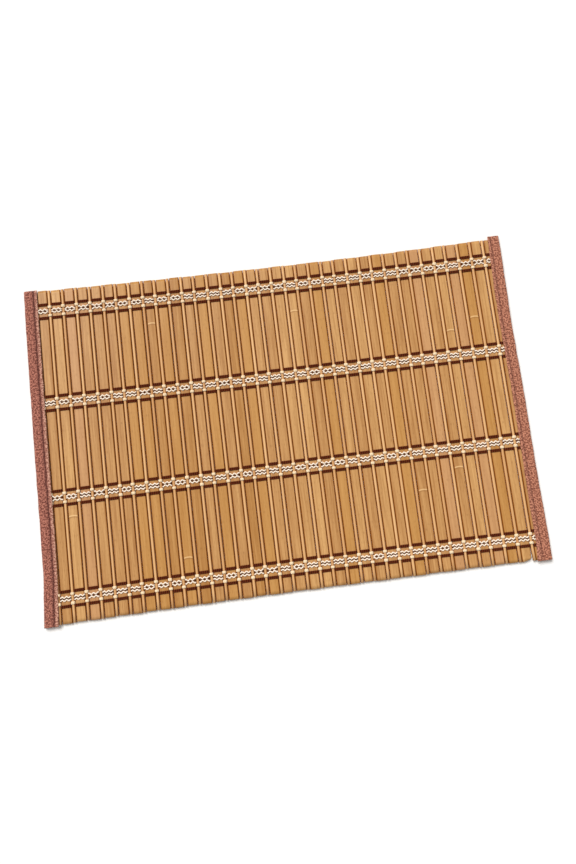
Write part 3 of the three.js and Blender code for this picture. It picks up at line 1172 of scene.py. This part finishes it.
def stitchMaterial():
    made, tree, shader = newMaterial("stitch_thread", stitch["roughness"])
    place = addNode(tree, "ShaderNodeTexCoord").outputs["Object"]
    fuzz = grainNoise(tree, place, stitch["fuzzScale"])
    plug(tree, shader.inputs["Base Color"], mixColour(tree, fuzz, stitch["dark"], stitch["light"]))
    bump(tree, shader, fuzz, stitch)
    return made


def makeStitches(side, finish):
    towards = 1 if side == "left" else -1
    pitch = tape["stitchPitch"][side]
    length = pitch * stitch["share"] * mm
    far, near = tapeRows[side][0][0], tapeRows[side][-1][0]
    rows = []
    for beat in range(math.ceil(near / pitch), math.floor(far / pitch)):
        y = (beat + 0.5) * pitch
        x = tapeEdge(side, 1, y) + towards * tape["stitchRow"][side]
        for z, face in ((stitch["upper"], 1.0), (stitch["under"], stitch["underFace"])):
            rows.append({"at": Vector((x, y, z)) * mm, "length": length, "face": face})
    piece = grow(guideObject(f"stitches_{side}", rows), stitches, {
        "Radius": stitch["radius"] * mm,
        "Arch": stitch["arch"] * mm,
        "Steps": stitch["steps"],
        "Sides": stitch["sides"],
        "Finish": finish,
    })
    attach(piece, "root")


makeSlats()
makeSticks()
makeYarns()
stitchFinish = stitchMaterial()
for side in ("left", "right"):
    makeTape(side)
    makeStitches(side, stitchFinish)
print("pieces made")

# Floor, lights and the camera that took the photograph
studio = {
    "floor": colour(244, 243, 241),
    "floorRoughness": 0.9,
    "floorSize": 6.0,
    "floorTop": -0.05 * mm,
    "keyFrom": (-0.4, 0.65, 1.0),
    "keySoftness": 34.0,  # degrees
    "keyStrength": 3.0,
    "sky": 0.46,
    "skyColour": (1.0, 0.99, 0.97, 1.0),
    "cameraPlace": (-9.056, -90.762, 633.841),
    "cameraTurn": (7.6037, -0.431, -7.1046),
    "lens": 29.167,
    "sensor": 36.0,
}


def makeStudio():
    mesh = bpy.data.meshes.new("floor")
    half = studio["floorSize"] / 2
    plan = ((-half, -half), (half, -half), (half, half), (-half, half))
    corners = [(x, y, studio["floorTop"]) for x, y in plan]
    mesh.from_pydata(corners, [], [(0, 1, 2, 3)])
    floor = bpy.data.objects.new("floor", mesh)
    bpy.context.scene.collection.objects.link(floor)
    made, _, shader = newMaterial("floor", studio["floorRoughness"])
    shader.inputs["Base Color"].default_value = studio["floor"]
    mesh.materials.append(made)

    light = bpy.data.lights.new("key", "SUN")
    light.angle = math.radians(studio["keySoftness"])
    light.energy = studio["keyStrength"]
    key = bpy.data.objects.new("key", light)
    key.location = studio["keyFrom"]
    key.rotation_euler = Vector(studio["keyFrom"]).to_track_quat("Z", "Y").to_euler()
    bpy.context.scene.collection.objects.link(key)

    world = bpy.data.worlds.new("soft")
    world.use_nodes = True
    sky = world.node_tree.nodes["Background"]
    sky.inputs["Color"].default_value = studio["skyColour"]
    sky.inputs["Strength"].default_value = studio["sky"]
    bpy.context.scene.world = world

    lens = bpy.data.cameras.new("camera")
    lens.lens = studio["lens"]
    lens.sensor_width = studio["sensor"]
    camera = bpy.data.objects.new("camera", lens)
    camera.location = Vector(studio["cameraPlace"]) * mm
    camera.rotation_euler = Euler([math.radians(turn) for turn in studio["cameraTurn"]])
    bpy.context.scene.collection.objects.link(camera)
    bpy.context.scene.camera = camera
    bpy.context.scene.view_settings.view_transform = "Standard"


makeStudio()
print("studio made")
